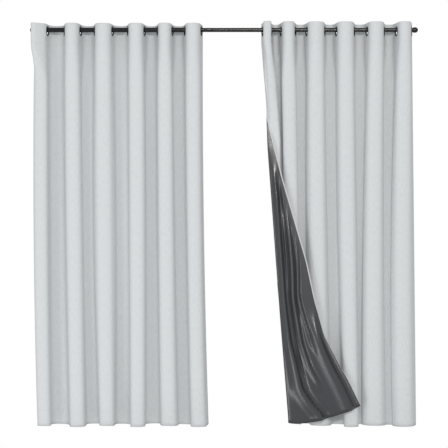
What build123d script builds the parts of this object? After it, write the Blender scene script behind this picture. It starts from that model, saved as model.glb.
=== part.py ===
"""Two lined eyelet curtains on a telescoping rod, held by a pair of wall brackets.

Row frame: the wall is the plane Y = 0, the room is on the -Y side, +X runs along the rod to the
right as seen from the room, and +Z is up. The origin lies on the wall, midway between the two
brackets, at the height of the rod's axis. All sizes are in millimetres.
"""

from build123d import *

import os
from math import cos, pi, radians, sin, tan

# ---------------------------------------------------------------- driving dimensions

# Telescoping rod: a 1 inch outer tube on the left, and a 7/8 inch tube that slides in it.
PROJECTION = 90.0  # wall to rod axis
OUTER_TUBE_R = 12.7
OUTER_TUBE_BORE_R = 11.4
INNER_TUBE_R = 11.1
INNER_TUBE_BORE_R = 10.1
ROD_HALF_LENGTH = 999.0
OUTER_TUBE_MOUTH_X = -150.0
INNER_TUBE_TAIL_X = -650.0

# Domed end caps with a spigot that plugs into the tube.
CAP_R = 14.5
CAP_LENGTH = 25.0
CAP_GROOVE_FROM_ROD = 2.5
CAP_GROOVE_DEPTH = 0.6
CAP_GROOVE_WIDTH = 1.2
CAP_SPIGOT_LENGTH = 20.0
CAP_SPIGOT_CLEARANCE = 0.05

# Curtain panels, each 80 by 84 inches before it is hung, with 12 grommets.
CLOTH_WIDTH = 2032.0
CLOTH_LENGTH = 2133.6
HEADER_ABOVE_ROD = 39.0
GROMMETS_PER_PANEL = 12
GROMMET_PITCH = 177.0  # cloth from one grommet to the next, measured along the cloth
WEB_ANGLE = 80.0  # between the rod and the cloth where it crosses the rod
# Each panel hangs in uneven folds: the gaps between its grommets along the rod, left to right.
LEFT_PANEL_START_X = -989.0
LEFT_PANEL_GAPS = (57, 91, 83, 76, 92, 84, 85, 71, 76, 69, 84)
RIGHT_PANEL_START_X = 206.0
RIGHT_PANEL_GAPS = (42, 54, 73, 63, 92, 64, 92, 70, 88, 67, 78)

# Layers of the cloth, as distances from its middle towards its face: (inner side, outer side).
FACE_LAYER = (0.25, 1.25)
TAPE_LAYER = (-0.35, 0.15)
LINING_LAYER = (-1.25, -0.45)
TAPE_HEIGHT = 100.0
TAPE_BELOW_EDGE = 3.0
LINING_ABOVE_HEM = 10.0

# Snap-together grommets: a domed face ring with a barrel, and a back ring pressed over the barrel.
GROMMET_R = 27.0
GROMMET_BORE_R = 19.0
BARREL_R = 20.8
SNAP_CLEARANCE = 0.1
CLOTH_HOLE_R = 21.3
RING_STANDOFF = 1.55  # middle of the cloth to the side of a ring that faces it
RING_EDGE = 0.6
RING_CROWN = 2.3
RING_LIP = 1.0
HANG_CLEARANCE = 0.3

# The leading corner of the right panel is turned back over its front. In elevation (X, Z):
CREASE_TOP = (227.0, -465.0)
CREASE_FOOT = (345.0, -2097.0)
FLAP_FOOT = (343.5, -2075.0)
FLAP_CORNER = (722.0, -1990.0)
FLAP_FROM_WALL = 186.0
FLAP_LAYER_GAP = 0.1

# Wall brackets: a screwed plate, a straight arm and an open cradle with a lock screw under it.
BRACKET_X = 974.0
PLATE_WIDTH = 28.0
PLATE_HEIGHT = 78.0
PLATE_THICKNESS = 3.0
PLATE_CORNER_R = 7.0
SCREW_SPACING = 55.0
SCREW_HOLE_R = 2.5
ARM_R = 4.0
ARM_ROOT_R = 9.0
ARM_ROOT_LENGTH = 5.0
CRADLE_WIDTH = 8.0
CRADLE_WALL = 3.0
CRADLE_CLEARANCE = 0.3
CRADLE_LIP = 8.0  # the cradle's walls rise this far above the rod axis
CRADLE_LIP_ROUND = 1.2
BOSS_DEPTH = 5.0

LOCK_SCREW_R = 2.0
LOCK_SCREW_CLEARANCE = 0.06
LOCK_SCREW_TIP_GAP = 0.1
LOCK_SCREW_HEAD_R = 6.0
LOCK_SCREW_HEAD_DEPTH = 8.0
LOCK_SCREW_HEAD_ROUND = 0.8
LOCK_SCREW_NECK = 1.5
KNURL_COUNT = 18
KNURL_R = 0.5
COIN_SLOT_WIDTH = 1.4
COIN_SLOT_DEPTH = 1.6

# ---------------------------------------------------------------- worked out from those

HEADER_TOP_Z = HEADER_ABOVE_ROD
HEM_Z = HEADER_TOP_Z - CLOTH_LENGTH
SIDE_MARGIN = (CLOTH_WIDTH - (GROMMETS_PER_PANEL - 1) * GROMMET_PITCH) / 2
ROD_Y = -PROJECTION

SLOPE = radians(WEB_ANGLE)
TURN = 2 * SLOPE  # angle through which the cloth turns round each fold

os.makedirs("parts", exist_ok=True)


def save(builder, name):
    """Label a finished piece and write it as its own STEP file."""
    builder.part.label = name
    export_step(builder.part, f"parts/{name}.step")


def running_total(start, steps):
    """Positions reached from start by taking each step in turn."""
    places = [start]
    for step in steps:
        places.append(places[-1] + step)
    return places


# ---------------------------------------------------------------- cloth


class Pleats:
    """A panel's folded cloth in plan: straight webs through the grommets, joined by round folds."""

    def __init__(self, start_x, gaps, rod_r):
        self.x = running_total(start_x, gaps)
        self.hang_z = rod_r + HANG_CLEARANCE - GROMMET_BORE_R

    def along(self, k):
        """Unit vector along web k, in the direction that leads from left to right."""
        towards_room = k % 2 == 0
        return Vector(cos(SLOPE), -sin(SLOPE) if towards_room else sin(SLOPE))

    def face_normal(self, k):
        """Unit vector out of the face of web k."""
        along = self.along(k)
        return Vector(along.Y, -along.X)

    def fold(self, k):
        """Straight reach, radius and height of the round part of the fold after web k.

        The reach is how far, across the rod, the two webs run straight. It is the one that uses
        up the cloth between the two grommets and keeps the round part tangent to both webs.
        """
        gap = self.x[k + 1] - self.x[k]
        cloth_left = GROMMET_PITCH - TURN * gap / (2 * sin(SLOPE))
        reach = cloth_left * sin(SLOPE) / (2 - TURN / tan(SLOPE))
        radius = (gap - 2 * reach / tan(SLOPE)) / (2 * sin(SLOPE))
        return reach, radius, radius * (1 - cos(SLOPE))

    def web(self, k, offset):
        """Both ends of web k, moved by offset along its face normal."""
        last = len(self.x) - 1
        before = SIDE_MARGIN if k == 0 else self.fold(k - 1)[0] / sin(SLOPE)
        after = SIDE_MARGIN if k == last else self.fold(k)[0] / sin(SLOPE)
        middle = Vector(self.x[k], ROD_Y) + self.face_normal(k) * offset
        return middle - self.along(k) * before, middle + self.along(k) * after

    def crest(self, k, offset):
        """The furthest point of the fold after web k, moved by offset along its face normal."""
        reach, _, rise = self.fold(k)
        side = -1 if k % 2 == 0 else 1
        return Vector((self.x[k] + self.x[k + 1]) / 2, ROD_Y + side * (reach + rise) - offset)

    def draw_side(self, offset):
        """Draw one side of a layer in the open BuildLine, and return its two ends."""
        first, end = self.web(0, offset)
        Line(first, end)
        for k in range(len(self.x) - 1):
            start, after = self.web(k + 1, offset)
            ThreePointArc(end, self.crest(k, offset), start)
            Line(start, after)
            end = after
        return first, end

    def draw_layer(self, layer):
        """Draw the closed outline of a layer of the cloth in the open BuildLine."""
        inner_first, inner_last = self.draw_side(layer[0])
        outer_first, outer_last = self.draw_side(layer[1])
        Line(inner_first, outer_first)
        Line(inner_last, outer_last)

    def grommet_plane(self, k):
        """Plane of the cloth at grommet k: x runs along the cloth and z comes out of its face."""
        middle = Vector(self.x[k], ROD_Y, self.hang_z)
        return Plane(origin=middle, x_dir=self.along(k), z_dir=self.face_normal(k))

    def grommet_section(self, k):
        """Plane of a cut up through grommet k: x runs upwards and y comes out of its face."""
        middle = Vector(self.x[k], ROD_Y, self.hang_z)
        return Plane(origin=middle, x_dir=(0, 0, 1), z_dir=-self.along(k))


LEFT_PLEATS = Pleats(LEFT_PANEL_START_X, LEFT_PANEL_GAPS, OUTER_TUBE_R)
RIGHT_PLEATS = Pleats(RIGHT_PANEL_START_X, RIGHT_PANEL_GAPS, INNER_TUBE_R)


def layer_outline(pleats, layer, low_z):
    """Plan of a layer of folded cloth, at the height of its lower edge."""
    with BuildSketch(Plane.XY.offset(low_z)) as outline:
        with BuildLine():
            pleats.draw_layer(layer)
        make_face()
    return outline.sketch


def disc(plane, radius):
    """A round face on a plane."""
    with BuildSketch(plane) as face:
        Circle(radius)
    return face.sketch


def elevation(corners, from_wall):
    """A flat face parallel to the wall, at a distance from it, with the given (X, Z) corners."""
    with BuildSketch(Plane.XZ.offset(from_wall)) as face:
        with BuildLine():
            Polyline(*corners, close=True)
        make_face()
    return face.sketch


def hang_layer(pleats, layer, low_z, high_z):
    """Build a layer of folded cloth in the open BuildPart, with a hole at each grommet."""
    extrude(layer_outline(pleats, layer, low_z), amount=high_z - low_z)
    for k in range(GROMMETS_PER_PANEL):
        hole = disc(pleats.grommet_plane(k), CLOTH_HOLE_R)
        extrude(hole, amount=RING_STANDOFF, both=True, mode=Mode.SUBTRACT)


def cut_past_crease(moved_x):
    """Take away the cloth left of the crease, which is moved by moved_x, from the open BuildPart."""
    top = (CREASE_TOP[0] + moved_x, CREASE_TOP[1])
    foot = (CREASE_FOOT[0] + moved_x, CREASE_FOOT[1])
    beyond = elevation((top, foot, (0, foot[1]), (0, top[1])), 0)
    extrude(beyond, amount=FLAP_FROM_WALL, mode=Mode.SUBTRACT)


def lay_flap(from_wall, thickness):
    """Add the turned-back corner to the open BuildPart, at a distance from the wall."""
    extrude(elevation((CREASE_TOP, FLAP_FOOT, FLAP_CORNER), from_wall), amount=thickness)


def wrap_crease(outer_x, inner_x, back, front):
    """Add the cloth that comes round the crease to the open BuildPart.

    It fills the crease from outer_x to inner_x beside it, and from back to front off the wall.
    """
    corners = (
        (CREASE_TOP[0] + outer_x, CREASE_TOP[1]),
        (FLAP_FOOT[0] + outer_x, FLAP_FOOT[1]),
        (FLAP_FOOT[0] + inner_x, FLAP_FOOT[1]),
        (CREASE_TOP[0] + inner_x, CREASE_TOP[1]),
    )
    extrude(elevation(corners, back), amount=front - back)


FACE_THICKNESS = FACE_LAYER[1] - FACE_LAYER[0]
LINING_THICKNESS = LINING_LAYER[1] - LINING_LAYER[0]
TAPE_TOP_Z = HEADER_TOP_Z - TAPE_BELOW_EDGE
DEEPEST_VALLEY = -RIGHT_PLEATS.crest(1, 0).Y

with BuildPart() as left_face_cloth:
    hang_layer(LEFT_PLEATS, FACE_LAYER, HEM_Z, HEADER_TOP_Z)
save(left_face_cloth, "left_face_cloth")

with BuildPart() as left_lining:
    hang_layer(LEFT_PLEATS, LINING_LAYER, HEM_Z + LINING_ABOVE_HEM, HEADER_TOP_Z)
save(left_lining, "left_lining")

with BuildPart() as left_header_tape:
    hang_layer(LEFT_PLEATS, TAPE_LAYER, TAPE_TOP_Z - TAPE_HEIGHT, TAPE_TOP_Z)
save(left_header_tape, "left_header_tape")

with BuildPart() as right_face_cloth:
    hang_layer(RIGHT_PLEATS, FACE_LAYER, HEM_Z, HEADER_TOP_Z)
    cut_past_crease(0)
    wrap_crease(-FACE_THICKNESS, LINING_THICKNESS, DEEPEST_VALLEY, FLAP_FROM_WALL + FACE_THICKNESS)
    lay_flap(FLAP_FROM_WALL, FACE_THICKNESS)
save(right_face_cloth, "right_face_cloth")

with BuildPart() as right_lining:
    hang_layer(RIGHT_PLEATS, LINING_LAYER, HEM_Z + LINING_ABOVE_HEM, HEADER_TOP_Z)
    cut_past_crease(LINING_THICKNESS + FLAP_LAYER_GAP)
    lay_flap(FLAP_FROM_WALL + FACE_THICKNESS + FLAP_LAYER_GAP, LINING_THICKNESS)
save(right_lining, "right_lining")

with BuildPart() as right_header_tape:
    hang_layer(RIGHT_PLEATS, TAPE_LAYER, TAPE_TOP_Z - TAPE_HEIGHT, TAPE_TOP_Z)
save(right_header_tape, "right_header_tape")


# ---------------------------------------------------------------- grommets


def save_grommet(pleats, k, name):
    """A domed face ring whose barrel goes through the cloth, and the back ring pressed over it."""
    section = pleats.grommet_section(k)
    spin = Axis(section.origin, section.y_dir)
    ring_middle = (GROMMET_BORE_R + GROMMET_R) / 2
    back_bore_r = BARREL_R + SNAP_CLEARANCE
    barrel_end = RING_STANDOFF + RING_LIP
    with BuildPart() as rings:
        with BuildSketch(section):
            with BuildLine():
                Polyline(
                    (GROMMET_R, RING_STANDOFF + RING_EDGE),
                    (GROMMET_R, RING_STANDOFF),
                    (BARREL_R, RING_STANDOFF),
                    (BARREL_R, -barrel_end),
                    (GROMMET_BORE_R, -barrel_end),
                    (GROMMET_BORE_R, RING_STANDOFF + RING_LIP),
                )
                ThreePointArc(
                    (GROMMET_BORE_R, RING_STANDOFF + RING_LIP),
                    (ring_middle, RING_STANDOFF + RING_CROWN),
                    (GROMMET_R, RING_STANDOFF + RING_EDGE),
                )
            make_face()
        revolve(axis=spin)
        with BuildSketch(section):
            with BuildLine():
                Polyline(
                    (GROMMET_R, -RING_STANDOFF - RING_EDGE),
                    (GROMMET_R, -RING_STANDOFF),
                    (back_bore_r, -RING_STANDOFF),
                    (back_bore_r, -barrel_end),
                )
                ThreePointArc(
                    (back_bore_r, -barrel_end),
                    ((back_bore_r + GROMMET_R) / 2, -RING_STANDOFF - RING_CROWN),
                    (GROMMET_R, -RING_STANDOFF - RING_EDGE),
                )
            make_face()
        revolve(axis=spin)
    save(rings, name)


for number in range(GROMMETS_PER_PANEL):
    save_grommet(LEFT_PLEATS, number, f"left_grommet_{number + 1:02d}")
    save_grommet(RIGHT_PLEATS, number, f"right_grommet_{number + 1:02d}")


# ---------------------------------------------------------------- rod


def save_tube(outer_r, bore_r, from_x, to_x, name):
    """A round tube along the rod's axis."""
    with BuildPart() as tube:
        with BuildSketch(Plane(origin=(from_x, ROD_Y, 0), x_dir=(0, 1, 0), z_dir=(1, 0, 0))):
            Circle(outer_r)
            Circle(bore_r, mode=Mode.SUBTRACT)
        extrude(amount=to_x - from_x)
    save(tube, name)


save_tube(OUTER_TUBE_R, OUTER_TUBE_BORE_R, -ROD_HALF_LENGTH, OUTER_TUBE_MOUTH_X, "rod_outer_tube")
save_tube(INNER_TUBE_R, INNER_TUBE_BORE_R, INNER_TUBE_TAIL_X, ROD_HALF_LENGTH, "rod_inner_tube")


def save_end_cap(side, bore_r, name):
    """A bullet-shaped cap with a fine groove round it and a spigot; side is -1 left, 1 right."""
    spigot_r = bore_r - CAP_SPIGOT_CLEARANCE
    shoulder = CAP_LENGTH - CAP_R  # the cap is straight up to here, and half a ball beyond
    groove_start = CAP_GROOVE_FROM_ROD
    groove_end = groove_start + CAP_GROOVE_WIDTH
    section = Plane(origin=(side * ROD_HALF_LENGTH, ROD_Y, 0), x_dir=(side, 0, 0), z_dir=(0, -1, 0))
    with BuildPart() as cap:
        with BuildSketch(section):
            with BuildLine():
                Polyline(
                    (CAP_LENGTH, 0),
                    (-CAP_SPIGOT_LENGTH, 0),
                    (-CAP_SPIGOT_LENGTH, spigot_r),
                    (0, spigot_r),
                    (0, CAP_R),
                    (groove_start, CAP_R),
                    (groove_start, CAP_R - CAP_GROOVE_DEPTH),
                    (groove_end, CAP_R - CAP_GROOVE_DEPTH),
                    (groove_end, CAP_R),
                    (shoulder, CAP_R),
                )
                ThreePointArc(
                    (shoulder, CAP_R),
                    (shoulder + CAP_R * sin(pi / 4), CAP_R * cos(pi / 4)),
                    (CAP_LENGTH, 0),
                )
            make_face()
        revolve(axis=Axis(section.origin, section.x_dir))
    save(cap, name)


save_end_cap(-1, OUTER_TUBE_BORE_R, "left_end_cap")
save_end_cap(1, INNER_TUBE_BORE_R, "right_end_cap")


# ---------------------------------------------------------------- brackets


def save_bracket(centre_x, rod_r, name):
    """A wall plate, an arm, and a cradle that the rod drops into from above."""
    cradle_r = rod_r + CRADLE_CLEARANCE
    outside_r = cradle_r + CRADLE_WALL
    with BuildPart() as bracket:
        with BuildSketch(Plane.XZ):
            with Locations((centre_x, 0)):
                RectangleRounded(PLATE_WIDTH, PLATE_HEIGHT, PLATE_CORNER_R)
            with Locations((centre_x, -SCREW_SPACING / 2), (centre_x, SCREW_SPACING / 2)):
                Circle(SCREW_HOLE_R, mode=Mode.SUBTRACT)
        extrude(amount=PLATE_THICKNESS)
        # the arm flares where it meets the plate
        with BuildSketch(Plane.XZ.offset(PLATE_THICKNESS)) as root:
            with Locations((centre_x, 0)):
                Circle(ARM_ROOT_R)
        with BuildSketch(Plane.XZ.offset(PLATE_THICKNESS + ARM_ROOT_LENGTH)) as neck:
            with Locations((centre_x, 0)):
                Circle(ARM_R)
        loft([root.sketch, neck.sketch])
        with BuildSketch(Plane.XZ.offset(PLATE_THICKNESS + ARM_ROOT_LENGTH)):
            with Locations((centre_x, 0)):
                Circle(ARM_R)
        extrude(amount=PROJECTION - outside_r + CRADLE_WALL / 2 - PLATE_THICKNESS - ARM_ROOT_LENGTH)
        # the cradle, seen along the rod: a half ring with straight walls
        with BuildSketch(Plane(origin=(centre_x, ROD_Y, 0), x_dir=(0, 1, 0), z_dir=(1, 0, 0))):
            Circle(outside_r)
            with Locations((0, CRADLE_LIP / 2)):
                Rectangle(2 * outside_r, CRADLE_LIP)
            with Locations((0, CRADLE_LIP + outside_r)):
                Rectangle(2 * outside_r, 2 * outside_r, mode=Mode.SUBTRACT)
            Circle(cradle_r, mode=Mode.SUBTRACT)
            with Locations((0, outside_r)):
                Rectangle(2 * cradle_r, 2 * outside_r, mode=Mode.SUBTRACT)
        extrude(amount=CRADLE_WIDTH / 2, both=True)
        lips = bracket.edges().filter_by(Axis.X).group_by(Axis.Z)[-1]
        fillet(lips, CRADLE_LIP_ROUND)
        # the boss under the cradle, tapped for the lock screw
        with BuildSketch(Plane.XY.offset(-outside_r - BOSS_DEPTH)):
            with Locations((centre_x, ROD_Y)):
                Circle(CRADLE_WIDTH / 2)
        extrude(amount=BOSS_DEPTH + CRADLE_WALL / 2)
        with BuildSketch(Plane.XY.offset(-outside_r - BOSS_DEPTH)):
            with Locations((centre_x, ROD_Y)):
                Circle(LOCK_SCREW_R + LOCK_SCREW_CLEARANCE)
        extrude(amount=outside_r + BOSS_DEPTH, mode=Mode.SUBTRACT)
    save(bracket, name)


def save_lock_screw(centre_x, rod_r, name):
    """A screw with a knurled head and a coin slot, which pins the rod from below."""
    tip_z = -rod_r - LOCK_SCREW_TIP_GAP
    head_top_z = -rod_r - CRADLE_CLEARANCE - CRADLE_WALL - BOSS_DEPTH - LOCK_SCREW_NECK
    head_low_z = head_top_z - LOCK_SCREW_HEAD_DEPTH
    with BuildPart() as screw:
        with BuildSketch(Plane.XY.offset(head_low_z)):
            with Locations((centre_x, ROD_Y)):
                Circle(LOCK_SCREW_HEAD_R)
        extrude(amount=LOCK_SCREW_HEAD_DEPTH)
        fillet(screw.edges().filter_by(GeomType.CIRCLE), LOCK_SCREW_HEAD_ROUND)
        with BuildSketch(Plane.XY.offset(head_low_z)):
            with Locations((centre_x, ROD_Y)):
                with PolarLocations(LOCK_SCREW_HEAD_R, KNURL_COUNT):
                    Circle(KNURL_R)
        extrude(amount=LOCK_SCREW_HEAD_DEPTH, mode=Mode.SUBTRACT)
        with BuildSketch(Plane.XY.offset(head_top_z)):
            with Locations((centre_x, ROD_Y)):
                Circle(LOCK_SCREW_R)
        extrude(amount=tip_z - head_top_z)
        with BuildSketch(Plane.XY.offset(head_low_z)):
            with Locations((centre_x, ROD_Y)):
                Rectangle(COIN_SLOT_WIDTH, 3 * LOCK_SCREW_HEAD_R)
        extrude(amount=COIN_SLOT_DEPTH, mode=Mode.SUBTRACT)
    save(screw, name)


save_bracket(-BRACKET_X, OUTER_TUBE_R, "left_bracket")
save_bracket(BRACKET_X, INNER_TUBE_R, "right_bracket")
save_lock_screw(-BRACKET_X, OUTER_TUBE_R, "left_lock_screw")
save_lock_screw(BRACKET_X, INNER_TUBE_R, "right_lock_screw")
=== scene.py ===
"""Two lined eyelet curtains on a telescoping rod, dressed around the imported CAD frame.

Metres throughout. The wall is the plane Y = 0, the room is on the -Y side, and +Z is up.
"""

import functools
import math

import bpy
import numpy as np
from bpy.props import FloatProperty, PointerProperty, StringProperty
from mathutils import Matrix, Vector


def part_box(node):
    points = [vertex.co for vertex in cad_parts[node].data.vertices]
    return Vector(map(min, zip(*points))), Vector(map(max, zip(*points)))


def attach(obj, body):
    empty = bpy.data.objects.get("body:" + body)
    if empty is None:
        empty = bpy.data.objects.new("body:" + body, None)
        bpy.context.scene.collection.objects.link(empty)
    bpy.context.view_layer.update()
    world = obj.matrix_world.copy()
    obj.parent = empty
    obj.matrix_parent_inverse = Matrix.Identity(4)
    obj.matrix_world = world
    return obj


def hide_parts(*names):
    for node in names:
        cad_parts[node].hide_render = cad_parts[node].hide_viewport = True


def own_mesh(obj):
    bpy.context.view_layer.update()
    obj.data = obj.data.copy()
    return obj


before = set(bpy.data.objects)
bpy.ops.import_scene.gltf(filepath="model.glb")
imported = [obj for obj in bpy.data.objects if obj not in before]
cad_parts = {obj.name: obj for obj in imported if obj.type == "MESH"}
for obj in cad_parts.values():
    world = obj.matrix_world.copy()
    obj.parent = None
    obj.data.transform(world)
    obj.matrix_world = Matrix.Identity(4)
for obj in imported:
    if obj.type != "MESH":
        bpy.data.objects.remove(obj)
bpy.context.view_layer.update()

bl_info = {
    "name": "Eyelet curtains on a rod",
    "version": (1, 0, 0),
    "blender": (4, 5, 0),
    "location": "View3D > Sidebar > Curtains",
    "description": "Dresses a pair of lined eyelet curtains, their rod, rings and brackets",
    "category": "Object",
}

# ---------------------------------------------------------------- sizes of the cut cloth

CLOTH_WIDTH = 2.032
CLOTH_LENGTH = 2.1336
RING_PITCH = 0.177  # cloth from one ring to the next
RINGS = 12
SIDE_MARGIN = (CLOTH_WIDTH - (RINGS - 1) * RING_PITCH) / 2
RING_CUT_R = 0.023  # the hole in the cloth, hidden under the ring
RING_CUT_MARGIN = 0.0005  # a face whose middle is this far inside the cut is taken away
HEADER_DEPTH = 0.104
HEM_DEPTH = 0.075
SIDE_HEM = 0.025
LINING_ABOVE_HEM = 0.010

# Where each layer stands, from the middle of the cloth towards the room, and its thickness.
FACE_OUT, FACE_THICKNESS = 0.00075, 0.0009
TAPE_OUT, TAPE_THICKNESS = -0.00005, 0.0004
LINING_OUT, LINING_THICKNESS = -0.00085, 0.0007
STITCH_OUT = 0.0013
STITCH_PITCH, STITCH_LENGTH, THREAD_RADIUS = 0.004, 0.003, 0.0004

# The face cloth is turned over its edges on to the lining: (way in from the edge, way out).
EDGE_TURN = ((-0.0012, -0.0004), (0.0, -0.0017), (0.006, -0.0017), (0.014, -0.0017))
TURN_CLOTH = 0.003  # cloth taken up by the turn, for the weave
TURN_INTO = 3  # the turn heads for this column or row, counted in from the edge
RIM_LEAST, RIM_MORE, RIM_DIES = 0.03, 0.32, (1.35, 1.62)  # the corner's thin rim dies away downwards
HEM_KEPT = 4  # columns past the crease where the lining still reaches the hem

# ---------------------------------------------------------------- how the panels hang

HEADER_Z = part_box("left_face_cloth")[1].z
HEADER_DROP = {"left": 0.011, "right": 0.003}  # each header stands this far below the frame's
HANG_Z = -2.085  # the folds take up a little of the cloth's length
FOLDED_FROM_Z = -0.064  # above this the rings hold the folds
FREE_BELOW_Z = -0.30  # below this they hang freely
WEB_SLOPE = math.radians(80)  # between the rod and the cloth where it crosses the rod

FOLD_ROUND, FOLD_FLAT = 0.3, 0.7  # shares of an evenly round fold and of a flat-fronted one
FLAT_FRONT = (0.30, 0.88)  # turn at which the flat front ends, and at which the web is straight
FOLD_LEAST, FOLD_MOST = 0.26, 0.98  # a fold's width as a share of its cloth
PINCH_WIDTH, PINCH_LEAST = 0.085, 0.4  # a valley narrower than this is shallower, down to this share
JOIN_POINTS, JOIN_PASSES = 700, 24  # how the joins of freely hanging folds are rounded
END_POINTS = 12  # points along each straight end of a row

# Columns and rows of the cloth's grid. A band is from and to, in cloth past a ring, and its points.
MARGIN_COLUMNS = 9
COLUMN_BANDS = ((0, 0.030, 7), (0.030, 0.147, 15), (0.147, RING_PITCH, 7))
HEADER_ROWS, UPPER_ROWS, LOWER_ROWS = 25, 19, 80  # in the header, down to the apex, and to the hem

# Where the cloth crosses the line of the rod, left to right, at the middle height and at the hem.
MIDDLE_Z = -0.898
LEFT_MIDDLE = (
    -0.999, -0.927, -0.838, -0.744, -0.690, -0.572, -0.503, -0.411, -0.350, -0.263, -0.197, -0.117,
)
LEFT_HEM = (
    -0.972, -0.917, -0.812, -0.728, -0.654, -0.576, -0.490, -0.417, -0.336, -0.240, -0.175, -0.090,
)
RIGHT_MIDDLE = (
    0.262, 0.303, 0.318, 0.385, 0.433, 0.544, 0.597, 0.700, 0.736, 0.843, 0.884, 0.998,
)
RIGHT_HEM = (
    0.300, 0.330, 0.356, 0.400, 0.451, 0.567, 0.636, 0.702, 0.726, 0.856, 0.888, 1.010,
)
FOLD_PLACES = {"left": (LEFT_MIDDLE, LEFT_HEM), "right": (RIGHT_MIDDLE, RIGHT_HEM)}
LEAST_GAP = 0.012  # between one crossing and the next

# The hem is never quite level: height, waves along the cloth, and where they start.
HEM_WAVE, HEM_WAVE_RATE, HEM_WAVE_START = 0.003, 9.0, 0.7

# The first fold of each panel. A pair is cloth from a ring where the shaping starts and is full.
END_LEAN = 0.038  # the left panel's first fold leans out over the end of the rod
END_LEAN_SPAN = (0.032, 0.080)
LEAD_SPREAD = 0.010  # the right panel's first fold is pressed flat, so it spreads at its front
LEAD_SPREAD_SPAN = (0.030, 0.066)
LEAD_SPREAD_TURN = (0.072, 0.105)  # where the spread changes from one way to the other

# ---------------------------------------------------------------- the turned-back corner

# The right panel's leading corner is turned back over its front: (x, z) down its two edges.
CREASE = ((0.2243, -0.4717), (0.2924, -1.421), (0.3418, -2.0624))
FREE_EDGE = (
    (0.2243, -0.4640), (0.3078, -0.7948), (0.3389, -0.8995), (0.4327, -1.2226), (0.4742, -1.4212),
    (0.5217, -1.6030), (0.6052, -1.7650), (0.6471, -1.8380), (0.7143, -1.9735),
)
EDGE_POINTS = 400  # points along each of those edges once it is smoothed
CREASE_Y = -0.156
CREASE_R = 0.006
APEX_V = 0.4956  # cloth above the point where the turn starts
CORNER_U = 0.400  # cloth turned back at the hem
CORNER_COLUMNS = 60
CORNER_STAND, CORNER_STAND_OVER = 0.009, 0.03  # it stands off the cloth behind, past this much cloth
CORNER_STAND_WIDTH = 0.10  # where it is narrower than this, it stands off less
RIDGES_FROM = 0.03  # cloth past the crease over which the ridges come up
CORNER_CLEAR = 0.002  # the cloth behind it comes no further out than this past the crease
CORNER_REACH_X = 0.76
HEM_SAG, SAG_SHAPE = 0.025, 0.8  # how far its hem hangs below a straight line, and how fully
PULL_OVER = 0.18  # the cloth beside the crease is pulled up or down, over this much cloth

EDGE_TOP = (0.199, -0.050)  # the leading edge in plan, just under the header
EDGE_AT_APEX = (0.2243, CREASE_Y)
EDGE_SETTLED = 0.457  # depth at which the leading edge reaches its place at the apex
LEAD_PITCH, LEAD_LEAST = 0.004, 6  # spacing and least number of points in the leading fold
LOOSE_FROM = 0.02  # share of that way down at which the leading fold comes off its straight web
LEAD_ACROSS, LEAD_OUT = (0.3, 0.75), 0.55  # shares of its cloth that it may span, along X and Y

# A pressed groove beside the leading edge: (x, z) at its two ends, and its depth, half width,
# the cloth it stays within, and the depths over which it grows and fades.
LEAD_GROOVE = ((0.2090, -0.060), (0.2400, -0.515))
LEAD_GROOVE_DEPTH, LEAD_GROOVE_HALF, LEAD_GROOVE_CLOTH = 0.017, 0.0045, 0.12
LEAD_GROOVE_GROWS, LEAD_GROOVE_FADES = (0.05, 0.12), (0.44, 0.515)

# Soft ridges in the turned-back corner. Each is (places, half width, height), and a place is
# (z, share of the way from the crease to the free edge).
RIDGES = (
    (((-0.70, 0.30), (-1.10, 0.14), (-1.42, 0.10), (-1.64, 0.14), (-1.75, 0.19), (-1.90, 0.23),
      (-1.98, 0.33), (-2.06, 0.45)), 0.028, 0.024),
    (((-0.90, 0.50), (-1.42, 0.24), (-1.70, 0.27), (-1.82, 0.30), (-1.92, 0.35)), 0.010, 0.010),
    (((-0.95, 0.72), (-1.42, 0.41), (-1.67, 0.44), (-1.80, 0.48), (-1.93, 0.58)), 0.012, 0.012),
    (((-1.10, 0.84), (-1.42, 0.56), (-1.52, 0.61), (-1.62, 0.66), (-1.73, 0.69)), 0.010, 0.010),
    (((-1.50, 0.86), (-1.75, 0.83), (-2.02, 0.86)), 0.030, 0.019),
)
RIDGE_RISE, RIDGE_FALL = 1.6, 0.6  # a ridge rises gently from the crease side and drops steeply
RIDGE_GROWS = 0.20  # height over which a ridge grows from its top end
RIDGE_FADES = (0.07, 0.02)  # it fades from this far above its lower end to this far below it
RUNS_OUT_BELOW = 2.0  # a ridge that reaches this depth runs out at the hem and doesn't fade
SINK_SHARE, SINK_PLACE = 0.50, 1.7  # the cloth sinks beside a ridge, in shares of its height and width

# ---------------------------------------------------------------- the stage

FLOOR_BELOW_HEM = 0.30
FLOOR_Y, FLOOR_DEPTH_SHARE, FLOOR_SIDES = -0.09, 0.35, 96
WORLD_COLOUR, WORLD_STRENGTH = (0.94, 0.985, 1.0, 1), 0.55
LIGHT_AIM = (0.1, -0.1, -0.9)
LIGHTS = (  # name, place, size, watts, colour
    ("key", (0.8, -7.4, 0.7), (2.0, 0.6), 184.0, (1.0, 0.965, 0.92)),
    ("card", (-3.4, -4.4, -3.2), (1.7, 4.6), 72.0, (0.98, 0.99, 1.0)),
)
SENSOR_WIDTH, LENS, CLIP_END = 36.0, 121.8, 100.0

# ---------------------------------------------------------------- the looks

WAVE_PERIOD = 0.314  # one band of the wave texture at scale 1, in metres
SLUB_SCALE = (260.0, 40.0, 1.0)  # uneven yarn: streaks about 4 mm by 25 mm
HANDLING_SCALE = 5.0  # soft creases from handling, about 200 mm apart
HANDLING_DEPTH = 0.004
WEAR_SCALE = 30.0  # patches of faint wear, about 33 mm across
WEAR_GLOSS = (0.85, 1.2)  # how the roughness changes over them
THREAD_SCALE = 900.0  # the thread's tone changes about every millimetre


@functools.lru_cache(maxsize=None)
def ring_centre(side, number):
    """Middle of a ring."""
    low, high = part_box(f"{side}_grommet_{number:02d}")
    return (low + high) / 2


# ---------------------------------------------------------------- the shape of hanging cloth


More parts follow.
